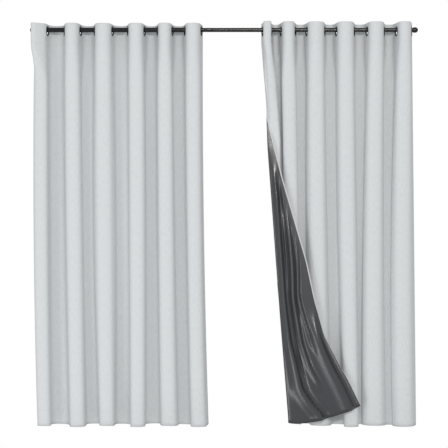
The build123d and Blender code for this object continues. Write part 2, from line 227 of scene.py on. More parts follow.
def ease(low, high, value):
    """Smooth step from 0 at low to 1 at high."""
    t = np.clip((value - low) / (high - low), 0, 1)
    return t * t * (3 - 2 * t)


def fold_profile(count):
    """How the cloth turns along a fold, from 1 through 0 at its flat front to -1."""
    turn = np.cos(np.linspace(0, math.pi, count))
    return FOLD_ROUND * turn + FOLD_FLAT * np.sign(turn) * ease(*FLAT_FRONT, np.abs(turn))


FOLD_ANGLES = np.linspace(0, 2.2, 221)
FOLD_WIDTHS = np.minimum.accumulate(np.cos(np.outer(FOLD_ANGLES, fold_profile(201))).mean(axis=1))


def fold_steepness(share):
    """Angle at which an even fold leaves the rod's line, for its width as a share of its cloth."""
    return float(np.interp(-share, -FOLD_WIDTHS, FOLD_ANGLES))


def run_along(bend, cloth, start, end, front):
    """Points of a fold whose cloth heads at the angles bend, stretched to meet its two ends."""
    step = cloth / (len(bend) - 1)
    east = np.concatenate([[0], np.cumsum((np.cos(bend[1:]) + np.cos(bend[:-1])) / 2)]) * step
    north = np.concatenate([[0], np.cumsum((np.sin(bend[1:]) + np.sin(bend[:-1])) / 2)]) * step
    share = np.linspace(0, 1, len(bend))
    x = start[0] + east * (end[0] - start[0]) / east[-1]
    y = start[1] - front * (north - north[-1] * share) + (end[1] - start[1]) * share
    return np.stack([x, y], axis=1)


def hanging_fold(start, end, cloth, front, count=48):
    """A fold that hangs freely between two points in plan. front is 1 towards the room, or -1."""
    out = end[1] - start[1]
    slack = math.sqrt(max(cloth * cloth - out * out, 1e-8))
    share = min(max((end[0] - start[0]) / slack, FOLD_LEAST), FOLD_MOST)
    points = run_along(fold_steepness(share) * fold_profile(count), slack, start, end, front)
    if front < 0:  # a narrow valley is pinched shut, so it is shallow too
        chord = np.linspace(start[1], end[1], count)
        pinch = min(max((end[0] - start[0]) / PINCH_WIDTH, PINCH_LEAST), 1.0)
        points[:, 1] = chord + (points[:, 1] - chord) * pinch
    return points


def held_fold(start, end, front, count=48):
    """A fold held by its two rings: two straight webs joined by a round bend."""
    gap = end[0] - start[0]
    spare = RING_PITCH - WEB_SLOPE * gap / math.sin(WEB_SLOPE)
    straight = spare / (2 - 2 * WEB_SLOPE / math.tan(WEB_SLOPE))
    along = np.linspace(0, RING_PITCH, count)
    bend = WEB_SLOPE * np.clip((RING_PITCH - 2 * along) / (RING_PITCH - 2 * straight), -1, 1)
    return run_along(bend, RING_PITCH, start, end, front)


def straight_web(end, cloth, count):
    """A straight run of cloth up to a ring, from the wall's side."""
    way = np.array((math.cos(WEB_SLOPE), -math.sin(WEB_SLOPE)))
    return end - way * np.linspace(cloth, 0, count)[:, None]


def shape_first_fold(side, fold):
    """Lean or spread the first fold of a panel, which doesn't stand straight out from its rings."""
    along = np.linspace(0, RING_PITCH, len(fold))
    if side == "left":
        clear = ease(*END_LEAN_SPAN, RING_PITCH - along)
        fold[:, 0] -= END_LEAN * ease(*END_LEAN_SPAN, along) * clear
    else:
        clear = ease(*LEAD_SPREAD_SPAN, along) * ease(*LEAD_SPREAD_SPAN, RING_PITCH - along)
        fold[:, 0] += LEAD_SPREAD * clear * (2 * ease(*LEAD_SPREAD_TURN, along) - 1)


def drifted(top, middle, hem, z):
    """Where the folds stand at a height: a smooth curve down through three given places."""
    d = max(0.0, FOLDED_FROM_Z - z)
    a, b = FOLDED_FROM_Z - MIDDLE_Z, FOLDED_FROM_Z - HANG_Z
    t, m, h = (np.array(v) for v in (top, middle, hem))
    from_top = t * (d - a) * (d - b) / (a * b)
    return from_top + m * d * (d - b) / (a * (a - b)) + h * d * (d - a) / (b * (b - a))


def smoothed(line, count, passes=30):
    """A line of points made even and rounded at its corners, with its ends kept."""
    line = np.array(line, float)
    far = np.concatenate([[0], np.cumsum(np.linalg.norm(np.diff(line, axis=0), axis=1))])
    even = np.linspace(0, far[-1], count)
    out = np.stack([np.interp(even, far, line[:, i]) for i in range(line.shape[1])], axis=1)
    for _ in range(passes):
        out[1:-1] = (out[:-2] + 2 * out[1:-1] + out[2:]) / 4
    return out


def height_of(v, side):
    """Height of the cloth that is v below its top edge."""
    top = HEADER_Z - HEADER_DROP[side]
    if v <= HEADER_DEPTH:
        return top - v
    low = top - HEADER_DEPTH
    return low - (v - HEADER_DEPTH) * (low - HANG_Z) / (CLOTH_LENGTH - HEADER_DEPTH)


def x_down(line, z):
    """The x of a line of (x, z) points at a height."""
    return float(np.interp(-z, [-p[1] for p in line], [p[0] for p in line]))


def crossings(side, z):
    """Where the cloth crosses the line of the rod: (cloth coordinate, x, y, number) at a height."""
    rod_y = ring_centre(side, 1).y
    tops = [ring_centre(side, k + 1).x for k in range(RINGS)]
    xs = drifted(tops, *FOLD_PLACES[side], z)
    return [(SIDE_MARGIN + k * RING_PITCH, xs[k], rod_y, k) for k in range(RINGS)]


def right_lead(nodes, z, turned):
    """The right panel's cloth from its leading edge, or its crease, to its first crossing.

    Gives its cloth coordinates, its plan points, and the crossings that are not turned back.
    """
    drop = ease(-FOLDED_FROM_Z, EDGE_SETTLED, -z)
    edge = tuple(top + (low - top) * drop for top, low in zip(EDGE_TOP, EDGE_AT_APEX))
    weight = drop
    if turned > 0:
        edge = (x_down(CREASE, z), CREASE_Y)
        weight = 1.0
    nodes = [n for n in nodes if n[0] > turned + LEAD_PITCH]
    u, x, y, k = nodes[0]
    cloth = u - turned
    near_x = edge[0] + min(max(x - edge[0], LEAD_ACROSS[0] * cloth), LEAD_ACROSS[1] * cloth)
    near_y = edge[1] + min(y - edge[1], LEAD_OUT * cloth)
    nodes[0] = (u, x * (1 - weight) + near_x * weight, y * (1 - weight) + near_y * weight, k)
    for i in range(1, len(nodes)):
        if nodes[i][1] < nodes[i - 1][1] + LEAST_GAP:
            nodes[i] = (nodes[i][0], nodes[i - 1][1] + LEAST_GAP, nodes[i][2], nodes[i][3])
    start = nodes[0][1:3]
    if weight <= LOOSE_FROM:
        return np.linspace(turned, u, END_POINTS), straight_web(start, cloth, END_POINTS), nodes
    count = max(LEAD_LEAST, int(cloth / LEAD_PITCH))
    lead = hanging_fold(edge, start, cloth, 1 if k % 2 else -1, count)
    if k == 0:
        lead = edge + (np.array(start) - edge) * np.linspace(0, 1, count)[:, None]
    lead = straight_web(start, cloth, count) * (1 - weight) + lead * weight
    return np.linspace(turned, u, count), lead, nodes


def round_joins(u, p, held):
    """Even out a row and round off the joins between folds, which the rings no longer hold."""
    even = np.linspace(u[0], u[-1], JOIN_POINTS)
    row = np.stack([np.interp(even, u, p[:, i]) for i in range(2)], axis=1)
    soft = row.copy()
    for _ in range(JOIN_PASSES):
        soft[1:-1] = (soft[:-2] + 2 * soft[1:-1] + soft[2:]) / 4
    return even, held * row + (1 - held) * soft


def plan_row(side, z, turned):
    """Cloth coordinate u and plan points along one row, from the leading edge or crease to the end."""
    nodes = crossings(side, z)
    if side == "right":
        lead_u, lead, nodes = right_lead(nodes, z, turned)
    else:
        lead_u = np.linspace(0, SIDE_MARGIN, END_POINTS)
        lead = straight_web(nodes[0][1:3], SIDE_MARGIN, END_POINTS)
    out_u, out_p = [lead_u[:-1]], [lead[:-1]]
    held = 1 - ease(-FOLDED_FROM_Z, -FREE_BELOW_Z, -z)
    for a, b in zip(nodes, nodes[1:]):
        front = 1 if a[3] % 2 == 0 else -1
        points = hanging_fold(a[1:3], b[1:3], b[0] - a[0], front)
        if held > 0:
            ringed = held_fold(a[1:3], b[1:3], front)
            if a[3] == 0:
                shape_first_fold(side, ringed)
            points = held * ringed + (1 - held) * points
        out_u.append(np.linspace(a[0], b[0], len(points))[:-1])
        out_p.append(points[:-1])
    end_u, end_x, end_y, _ = nodes[-1]
    way = np.array((math.cos(WEB_SLOPE), math.sin(WEB_SLOPE)))  # the last web heads for the wall
    out_u.append(np.linspace(end_u, CLOTH_WIDTH, END_POINTS))
    out_p.append(np.array((end_x, end_y)) + way * np.linspace(0, SIDE_MARGIN, END_POINTS)[:, None])
    u, p = np.concatenate(out_u), np.concatenate(out_p)
    if held < 1:
        u, p = round_joins(u, p, held)
    if side == "right" and z < FREE_BELOW_Z:  # it stays behind the turned-back corner
        behind = np.maximum(p[:, 1], CREASE_Y - CORNER_CLEAR)
        p[:, 1] = np.where(p[:, 0] < CORNER_REACH_X, behind, p[:, 1])
    return u, p


def column_places():
    """Cloth coordinate u of each column, closer together beside the rings."""
    places = [np.linspace(0, SIDE_MARGIN, MARGIN_COLUMNS)]
    for k in range(RINGS - 1):
        start = SIDE_MARGIN + k * RING_PITCH
        for low, high, count in COLUMN_BANDS:
            places.append(start + np.linspace(low, high, count)[1:])
    places.append(CLOTH_WIDTH - SIDE_MARGIN + np.linspace(0, SIDE_MARGIN, MARGIN_COLUMNS)[1:])
    return np.concatenate(places)


def row_places():
    """Distance v below the top edge of each row, closer together beside the rings."""
    top = np.linspace(0, HEADER_DEPTH, HEADER_ROWS)
    upper = np.linspace(HEADER_DEPTH, APEX_V, UPPER_ROWS)[1:]
    lower = np.linspace(APEX_V, CLOTH_LENGTH, LOWER_ROWS)[1:]
    return np.concatenate([top, upper, lower])


def turned_at(v):
    """Cloth that is turned back past the crease, at v below the top edge."""
    return max(0.0, (v - APEX_V) / (CLOTH_LENGTH - APEX_V) * CORNER_U)


def ridge_height(share, z, width):
    """How far the ridges stand proud of the turned-back corner."""
    total = np.zeros_like(share)
    for places, half, height in RIDGES:
        depth = [-p[0] for p in places]
        centre = float(np.interp(-z, depth, [p[1] for p in places]))
        fade = ease(depth[0], depth[0] + RIDGE_GROWS, -z)
        if depth[-1] <= RUNS_OUT_BELOW:
            fade = fade * (1 - ease(depth[-1] - RIDGE_FADES[0], depth[-1] + RIDGE_FADES[1], -z))
        off = (share - centre) * width / half
        off = np.where(off < 0, off / RIDGE_RISE, off / RIDGE_FALL)
        sink = SINK_SHARE * np.exp(-((off - SINK_PLACE) ** 2))
        total += fade * height * (np.exp(-off * off) - sink)
    return total


def lead_groove(x, u, z):
    """How far the cloth sinks along the pressed groove beside the right panel's leading edge."""
    faded = ease(*LEAD_GROOVE_GROWS, -z) * (1 - ease(*LEAD_GROOVE_FADES, -z))
    off = (x - x_down(LEAD_GROOVE, z)) / LEAD_GROOVE_HALF
    return LEAD_GROOVE_DEPTH * faded * np.exp(-(off ** 2)) * (u < LEAD_GROOVE_CLOTH)


def corner_place(far, width, start, foot, corner, z):
    """A point of the turned-back corner, far cloth past the crease, of width cloth in all.

    start is the crease in plan, and foot and corner are the (x, z) of the crease and the free edge.
    """
    radius = min(CREASE_R, width / (2 * math.pi))
    wrap = math.pi * radius
    if far < wrap:
        angle = far / radius
        return start[0] - radius * math.sin(angle), start[1] - radius * (1 - math.cos(angle)), foot[1]
    flat = far - wrap
    part = flat / max(width - wrap, 1e-6)
    ridge = float(ridge_height(np.array(part), z, width)) * float(ease(0, RIDGES_FROM, flat))
    stand = CORNER_STAND * (1 - math.exp(-flat / CORNER_STAND_OVER)) * ease(0, CORNER_STAND_WIDTH, width)
    sag = HEM_SAG * (width / CORNER_U) ** 2 * math.sin(math.pi * part ** SAG_SHAPE) ** SAG_SHAPE
    return (
        start[0] + (corner[0] - start[0]) * part,
        start[1] - 2 * radius - stand - ridge,
        foot[1] + (corner[1] - foot[1]) * part - sag,
    )


def cloth_surface(side):
    """The middle of a panel's cloth as points, faces, UVs, and grids of point numbers."""
    us = column_places()
    anchor = SIDE_MARGIN + 3 * RING_PITCH  # columns past this keep their place in the cloth
    crease = smoothed(CREASE, EDGE_POINTS)
    free = smoothed(FREE_EDGE, EDGE_POINTS)
    points, uv, grid, flap = [], [], [], []

    def add(p, place):
        points.append(p)
        uv.append(place)
        return len(points) - 1

    for v in row_places():
        z = height_of(v, side)
        turned = turned_at(v) if side == "right" else 0.0
        u_line, plan = plan_row(side, z, turned)
        row_u = np.where(us < anchor, turned + us * (anchor - turned) / anchor, us)
        x, y = (np.interp(row_u, u_line, plan[:, i]) for i in range(2))
        if side == "right" and LEAD_GROOVE[0][1] > z > LEAD_GROOVE[1][1]:
            y = y + lead_groove(x, row_u, z)
        down = int(round(turned / CORNER_U * (EDGE_POINTS - 1)))
        pull = (crease[down, 1] - z) if turned > 0 else 0.0
        heights = z + pull * np.exp(-(((row_u - turned) / PULL_OVER) ** 2))
        if v > HEADER_DEPTH:
            wave = np.sin(row_u * HEM_WAVE_RATE + HEM_WAVE_START)
            heights = heights + HEM_WAVE * (v / CLOTH_LENGTH) ** 2 * wave
        grid.append([add((x[i], y[i], heights[i]), (row_u[i], v)) for i in range(len(us))])
        if turned > 0:
            row = []
            for j in range(CORNER_COLUMNS):
                far = turned * (1 - j / CORNER_COLUMNS)
                place = corner_place(far, turned, (x[0], y[0]), crease[down], free[down], z)
                row.append(add(place, (turned - far, v)))
            flap.append(row + [grid[-1][0]])
        elif side == "right" and abs(v - APEX_V) < 1e-9:
            flap.append([grid[-1][0]] * (CORNER_COLUMNS + 1))
    faces = []
    for rows in (grid, flap):
        for upper, lower in zip(rows, rows[1:]):
            for c in range(len(upper) - 1):
                corners = (upper[c], lower[c], lower[c + 1], upper[c + 1])
                kept = tuple(dict.fromkeys(corners))
                if len(kept) > 2:
                    faces.append(kept)
    return np.array(points), np.array(uv), faces, grid, flap


def cut_ring_holes(side, points, uv, faces):
    """Take away the faces under each ring's bore, and bring the rest of the edge to a circle."""
    centre_z = ring_centre(side, 1).z
    ring_v = HEADER_Z - HEADER_DROP[side] - centre_z
    spots = [(SIDE_MARGIN + k * RING_PITCH, ring_v) for k in range(RINGS)]
    kept, edge = [], {}
    for face in faces:
        place = uv[list(face)].mean(axis=0)
        inside = None
        if place[1] < HEADER_DEPTH:
            for k, spot in enumerate(spots):
                if math.hypot(place[0] - spot[0], place[1] - spot[1]) < RING_CUT_R - RING_CUT_MARGIN:
                    inside = k
                    break
        if inside is None:
            kept.append(face)
        else:
            for i in face:
                edge[i] = inside
    used = {i for face in kept for i in face}
    for i, k in edge.items():
        if i not in used:
            continue
        du, dv = uv[i] - np.array(spots[k])
        far = math.hypot(du, dv)
        middle = ring_centre(side, k + 1)
        run = math.cos(WEB_SLOPE), math.sin(WEB_SLOPE) * (-1 if k % 2 == 0 else 1)
        du, dv = du * RING_CUT_R / far, dv * RING_CUT_R / far
        points[i] = (middle.x + run[0] * du, middle.y + run[1] * du, centre_z - dv)
        uv[i] = (spots[k][0] + du, spots[k][1] + dv)
    return kept


def point_normals(points, faces):
    """Unit normals at the points, out of the cloth's face."""
    out = np.zeros_like(points)
    for size in (3, 4):
        some = np.array([f for f in faces if len(f) == size], dtype=int)
        if not len(some):
            continue
        a = points[some[:, 0]] - points[some[:, -2]]
        b = points[some[:, 1]] - points[some[:, -1]]
        n = np.cross(a, b)
        for i in range(size):
            np.add.at(out, some[:, i], n)
    return out / np.maximum(np.linalg.norm(out, axis=1, keepdims=True), 1e-12)


# ---------------------------------------------------------------- objects and materials


def linear(code):
    """An sRGB hex colour as linear RGBA."""
    parts = [int(code[i:i + 2], 16) / 255 for i in (1, 3, 5)]
    return (*[c / 12.92 if c <= 0.04045 else ((c + 0.055) / 1.055) ** 2.4 for c in parts], 1.0)


def new_piece(name, points, faces, uv=None, smooth=True):
    """A mesh object at the origin, with its UVs in metres of cloth."""
    mesh = bpy.data.meshes.new(name)
    mesh.from_pydata([tuple(p) for p in points], [], faces)
    if uv is not None:
        layer = mesh.uv_layers.new(name="cloth")
        corner = np.zeros(len(mesh.loops), dtype=int)
        mesh.loops.foreach_get("vertex_index", corner)
        layer.data.foreach_set("uv", np.asarray(uv)[corner].astype(np.float32).ravel())
    mesh.polygons.foreach_set("use_smooth", [smooth] * len(mesh.polygons))
    mesh.update()
    piece = bpy.data.objects.new(name, mesh)
    bpy.context.scene.collection.objects.link(piece)
    return piece


def add_node(tree, kind, settings=None, values=None, links=None):
    """Add a node with its settings, its input values and its links from other sockets."""
    node = tree.nodes.new(kind)
    for key, value in (settings or {}).items():
        setattr(node, key, value)
    for key, value in (values or {}).items():
        node.inputs[key].default_value = value
    for key, socket in (links or {}).items():
        tree.links.new(socket, node.inputs[key])
    return node


def new_material(name, **shader):
    """A material with a Principled shader set from keyword values."""
    material = bpy.data.materials.new(name)
    material.use_nodes = True
    tree = material.node_tree
    bsdf = tree.nodes["Principled BSDF"]
    for key, value in shader.items():
        bsdf.inputs[key.replace("_", " ")].default_value = value
    return material, tree, bsdf


def woven_cloth(name, base, shade, thread, depth, crumple, **shader):
    """A plain weave: two crossing sets of threads, with uneven yarn and soft handling creases."""
    material, tree, bsdf = new_material(name, **shader)
    place = add_node(tree, "ShaderNodeUVMap", {"uv_map": "cloth"}).outputs["UV"]
    weave = add_node(tree, "ShaderNodeMath", {"operation": "MAXIMUM"})
    for number, direction in enumerate("XY"):  # warp, then weft
        threads = add_node(tree, "ShaderNodeTexWave", {"bands_direction": direction},
                           {"Scale": WAVE_PERIOD / thread, "Distortion": 0.6, "Detail": 2.0},
                           {"Vector": place})
        tree.links.new(threads.outputs["Fac"], weave.inputs[number])
    slub = add_node(tree, "ShaderNodeMapping", {}, {"Scale": SLUB_SCALE}, {"Vector": place})
    yarn = add_node(tree, "ShaderNodeTexNoise", {}, {"Scale": 1.0, "Detail": 3.0},
                    {"Vector": slub.outputs["Vector"]})
    soft = add_node(tree, "ShaderNodeTexNoise", {},
                    {"Scale": HANDLING_SCALE, "Detail": 3.0, "Roughness": 0.5}, {"Vector": place})
    tone = add_node(tree, "ShaderNodeMath", {"operation": "MULTIPLY"}, None,
                    {0: yarn.outputs["Fac"], 1: weave.outputs[0]})
    ramp = add_node(tree, "ShaderNodeMapRange", {}, {"From Min": 0.1, "From Max": 0.5},
                    {"Value": tone.outputs[0]})
    colour = add_node(tree, "ShaderNodeMix", {"data_type": "RGBA"}, {"A": linear(shade), "B": linear(base)},
                      {"Factor": ramp.outputs["Result"]})
    tree.links.new(colour.outputs["Result"], bsdf.inputs["Base Color"])
    fine = add_node(tree, "ShaderNodeBump", {}, {"Strength": 0.35, "Distance": depth},
                    {"Height": weave.outputs[0]})
    broad = add_node(tree, "ShaderNodeBump", {}, {"Strength": crumple, "Distance": HANDLING_DEPTH},
                     {"Height": soft.outputs["Fac"], "Normal": fine.outputs["Normal"]})
    tree.links.new(broad.outputs["Normal"], bsdf.inputs["Normal"])
    return material


def speckled(name, base, worn, grain, depth, **shader):
    """A coated or moulded skin: fine grain in its bump, and faint wear in its colour and gloss."""
    material, tree, bsdf = new_material(name, **shader)
    place = add_node(tree, "ShaderNodeTexCoord").outputs["Object"]
    grit = add_node(tree, "ShaderNodeTexNoise", {}, {"Scale": 1 / grain, "Detail": 2.0}, {"Vector": place})
    wear = add_node(tree, "ShaderNodeTexNoise", {}, {"Scale": WEAR_SCALE, "Detail": 4.0}, {"Vector": place})
    colour = add_node(tree, "ShaderNodeMix", {"data_type": "RGBA"}, {"A": linear(base), "B": linear(worn)},
                      {"Factor": wear.outputs["Fac"]})
    tree.links.new(colour.outputs["Result"], bsdf.inputs["Base Color"])
    gloss = add_node(tree, "ShaderNodeMapRange", {},
                     {"To Min": shader["Roughness"] * WEAR_GLOSS[0],
                      "To Max": shader["Roughness"] * WEAR_GLOSS[1]}, {"Value": wear.outputs["Fac"]})
    tree.links.new(gloss.outputs["Result"], bsdf.inputs["Roughness"])
    bump = add_node(tree, "ShaderNodeBump", {}, {"Strength": 0.25, "Distance": depth},
                    {"Height": grit.outputs["Fac"]})
    tree.links.new(bump.outputs["Normal"], bsdf.inputs["Normal"])
    return material


def woven_polyester():
    """Woven polyester blackout cloth: matt, with a faint thread texture and a soft bloom.

    Its real threads are 0.4 mm apart, and are drawn at 1.4 mm so that they show.
    """
    return woven_cloth("pale_grey_woven_polyester", bpy.context.scene.curtains.cloth_colour, "#CDD0D4",
                       0.0014, 0.0002, 0.10, Roughness=0.85, Sheen_Weight=0.12, Sheen_Roughness=0.4)


def coated_lining():
    """Blackout lining: a tight weave under a rolled-on coating, so it shines like satin in the folds.

    Its threads are 0.3 mm apart, and are drawn at 1.2 mm.
    """
    return woven_cloth("dark_grey_coated_lining", bpy.context.scene.curtains.lining_colour, "#36363A",
                       0.0012, 0.0001, 0.20, Roughness=0.22, Specular_IOR_Level=0.75)


def nonwoven_tape():
    """Pressed non-woven stiffener: off-white and dead matt, with a felted surface."""
    return woven_cloth("nonwoven_header_tape", "#E4E3DE", "#D2D1CC", 0.0016, 0.0002, 0.1, Roughness=0.9)


def moulded_abs():
    """Injection-moulded ABS: black with a soft gloss and a trace of moulding texture."""
    return speckled("black_moulded_abs", "#0B0B0C", "#141415", 0.0006, 0.000004, Roughness=0.28, IOR=1.53)


def polished_abs():
    """Injection-moulded ABS, polished a little more than the rings."""
    return speckled("black_polished_abs", "#0A0A0B", "#121213", 0.0008, 0.000003, Roughness=0.22, IOR=1.53)


def stoved_enamel():
    """Stoved black enamel on drawn steel tube: a smooth wet gloss with a bright line along it."""
    return speckled("black_stoved_enamel", "#050505", "#090909", 0.0015, 0.000001, Roughness=0.15, IOR=1.5)


def powder_coat():
    """Powder coat on pressed steel: satin, with a fine orange-peel surface."""
    return speckled("black_powder_coat", "#121213", "#1C1C1D", 0.0009, 0.00006, Roughness=0.42, IOR=1.5)


def oxide_steel():
    """Black oxide on turned steel: dark metal with uneven, slightly brighter patches."""
    return speckled("black_oxide_steel", "#2A2A2C", "#3C3C3E", 0.0005, 0.00003, Roughness=0.38, Metallic=1.0)


def spun_thread():
    """Spun polyester thread: pale, matt and a little fuzzy, with its tone uneven along it."""
    material, tree, bsdf = new_material("spun_polyester_thread", Roughness=0.7, Sheen_Weight=0.2)
    place = add_node(tree, "ShaderNodeTexCoord").outputs["Object"]
    twist = add_node(tree, "ShaderNodeTexNoise", {}, {"Scale": THREAD_SCALE}, {"Vector": place})
    colour = add_node(tree, "ShaderNodeMix", {"data_type": "RGBA"},
                      {"A": linear("#BFC1C4"), "B": linear("#E2E3E4")}, {"Factor": twist.outputs["Fac"]})
    tree.links.new(colour.outputs["Result"], bsdf.inputs["Base Color"])
    return material


FINISHES = {
    "pale_grey_cloth": woven_polyester,
    "dark_grey_lining": coated_lining,
    "header_tape": nonwoven_tape,
    "black_grommet": moulded_abs,
    "black_cap": polished_abs,
    "black_tube": stoved_enamel,
    "black_bracket": powder_coat,
    "black_screw": oxide_steel,
    "thread": spun_thread,
}


@functools.lru_cache(maxsize=None)
def finish_named(slot):
    """The material for one of the record's slots, or for the sewing thread, made once."""
    return FINISHES[slot]()


# ---------------------------------------------------------------- the layers of a panel


def place_on_panel(piece):
    """A layer of cloth stays on the wall set, with a mesh of its own."""
    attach(piece, "wall_set")
    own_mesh(piece)


def thicken(piece, thickness):
    """Give a sheet its thickness, evenly on both sides."""
    solid = piece.modifiers.new("thickness", "SOLIDIFY")
    solid.thickness = thickness
    solid.offset = 0


@functools.lru_cache(maxsize=None)
def panel_surface(side):
    """Middle surface of a panel with its ring holes cut, and its normals. Made once."""
    points, uv, faces, grid, flap = cloth_surface(side)
    normals = point_normals(points, faces)
    kept = cut_ring_holes(side, points, uv, faces)
    return points, normals, uv, kept, grid, flap


def wrapped_edges(points, normals, uv, faces, grid, flap):
    """Face cloth turned over the side edges and the top edge, on to the lining."""
    points, uv, faces = list(map(tuple, points + normals * FACE_OUT)), list(map(tuple, uv)), list(faces)
    base = np.array(points)

    def turn(edge, inner, flip, thin=False):
        lines = [list(edge)]
        for inward, out in EDGE_TURN:
            line = []
            for e, i in zip(edge, inner):
                reach = 1.0
                if thin:  # the turned-back corner shows only a fine pale edge
                    reach = RIM_LEAST + RIM_MORE * float(1 - ease(*RIM_DIES, -base[e][2]))
                way = base[i] - base[e]
                length = np.linalg.norm(way)
                way = way / length if length > 1e-9 else way
                points.append(tuple(base[e] + way * inward * reach + normals[e] * (out - FACE_OUT)))
                uv.append((uv[e][0] + TURN_CLOTH, uv[e][1]))
                line.append(len(points) - 1)
            lines.append(line)
        for a, b in zip(lines, lines[1:]):
            for r in range(len(edge) - 1):
                quad = tuple(dict.fromkeys((a[r], a[r + 1], b[r + 1], b[r])))
                if len(quad) > 2:
                    faces.append(quad[::-1] if flip else quad)

    if flap:
        upper = [row[0] for row in grid if row[0] <= flap[0][0]]
        lower = [row[0] for row in flap[1:]]
        turn(upper, [row[TURN_INTO] for row in grid[:len(upper)]], True)
        inner = [grid[len(upper) - 1][TURN_INTO]] + [row[TURN_INTO] for row in flap[1:]]
        turn(upper[-1:] + lower, inner, True, thin=True)
    else:
        turn([row[0] for row in grid], [row[TURN_INTO] for row in grid], True)
    turn([row[-1] for row in grid], [row[-1 - TURN_INTO] for row in grid], False)
    turn(grid[0], grid[TURN_INTO], False)
    return np.array(points), faces, np.array(uv)


def hem_of_lining(points, grid, turned):
    """Raise the lining's lowest row, because the lining is cut shorter than the face cloth.

    It still reaches the hem where the corner is turned back, and for a little way past the crease.
    """
    kept = HEM_KEPT if turned else 0
    for low, above in list(zip(grid[-1], grid[-2]))[kept:]:
        gap = np.linalg.norm(points[above] - points[low])
        points[low] = points[low] + (points[above] - points[low]) * min(1, LINING_ABOVE_HEM / gap)
    return points


def stitch_tree():
    """Geometry Nodes that lay short stitches along a seam line."""
    tree = bpy.data.node_groups.get("running_stitch")
    if tree:
        return tree
    tree = bpy.data.node_groups.new("running_stitch", "GeometryNodeTree")
    face = tree.interface
    face.new_socket(name="Seam", in_out="INPUT", socket_type="NodeSocketGeometry")
    sizes = (("Stitch Pitch", STITCH_PITCH), ("Stitch Length", STITCH_LENGTH),
             ("Thread Radius", THREAD_RADIUS))
    for label, value in sizes:
        socket = face.new_socket(name=label, in_out="INPUT", socket_type="NodeSocketFloat")
        socket.default_value = value
    face.new_socket(name="Thread", in_out="INPUT", socket_type="NodeSocketMaterial")
    face.new_socket(name="Stitches", in_out="OUTPUT", socket_type="NodeSocketGeometry")
    given = add_node(tree, "NodeGroupInput").outputs
    points = add_node(tree, "GeometryNodeCurveToPoints", {"mode": "LENGTH"}, None,
                      {"Curve": given["Seam"], "Length": given["Stitch Pitch"]})
    stitch = add_node(tree, "GeometryNodeMeshCylinder", {}, {"Vertices": 5},
                      {"Radius": given["Thread Radius"], "Depth": given["Stitch Length"]})
    laid = add_node(tree, "GeometryNodeInstanceOnPoints", {}, None,
                    {"Points": points.outputs["Points"], "Instance": stitch.outputs["Mesh"],
                     "Rotation": points.outputs["Rotation"]})
    real = add_node(tree, "GeometryNodeRealizeInstances", {}, None, {"Geometry": laid.outputs["Instances"]})
    thread = add_node(tree, "GeometryNodeSetMaterial", {}, None,
                      {"Geometry": real.outputs["Geometry"], "Material": given["Thread"]})
    add_node(tree, "NodeGroupOutput", {}, None, {"Stitches": thread.outputs["Geometry"]})
    return tree


def sew(name, lines):
    """Stitches along lines of points, as a plain mesh."""
    curve = bpy.data.curves.new(name + "_seam", "CURVE")
    curve.dimensions = "3D"
    for line in lines:
        spline = curve.splines.new("POLY")
        spline.points.add(len(line) - 1)
        places = np.column_stack([line, np.ones(len(line))]).astype(np.float32)
        spline.points.foreach_set("co", places.ravel())
    seam = bpy.data.objects.new(name + "_seam", curve)
    bpy.context.scene.collection.objects.link(seam)
    modifier = seam.modifiers.new("stitches", "NODES")
    tree = stitch_tree()
    modifier.node_group = tree
    for item in tree.interface.items_tree:
        if item.in_out == "INPUT" and item.name == "Thread":
            modifier[item.identifier] = finish_named("thread")
        elif item.in_out == "INPUT" and item.name == "Stitch Pitch":
            modifier[item.identifier] = bpy.context.scene.curtains.stitch_pitch
    bpy.context.view_layer.update()
    graph = bpy.context.evaluated_depsgraph_get()
    mesh = bpy.data.meshes.new_from_object(seam.evaluated_get(graph))
    bpy.data.objects.remove(seam)
    mesh.name = name
    mesh.polygons.foreach_set("use_smooth", [True] * len(mesh.polygons))
    piece = bpy.data.objects.new(name, mesh)
    bpy.context.scene.collection.objects.link(piece)
    return piece


def nearest(places, value):
    """Number of the row or column that stands nearest to a place."""
    return int(np.argmin(abs(places - value)))


def sew_panel(side, points, normals, grid, flap):
    """Stitch a panel's header, bottom hem and side hems."""
    header = nearest(row_places(), HEADER_DEPTH)
    hem = nearest(row_places(), CLOTH_LENGTH - HEM_DEPTH)
    near = nearest(column_places(), SIDE_HEM)
    rows = grid if not flap else grid[:len(grid) - len(flap) + 1]
    seams = [grid[header], grid[hem], [r[near] for r in rows], [r[-1 - near] for r in grid]]
    outside = points + normals * STITCH_OUT
    stitches = sew(f"{side}_stitching", [outside[line] for line in seams])
    place_on_panel(stitches)
    return stitches


def cut_tape(points, uv, faces, grid):
    """The strip of cloth along the header, without its topmost row, for the tape."""
    band = {i for row in grid[1:nearest(row_places(), HEADER_DEPTH) + 1] for i in row}
    kept = [f for f in faces if all(i in band for i in f)]
    order = sorted({i for f in kept for i in f})
    number = {i: n for n, i in enumerate(order)}
    return points[order], [tuple(number[i] for i in f) for f in kept], uv[order]


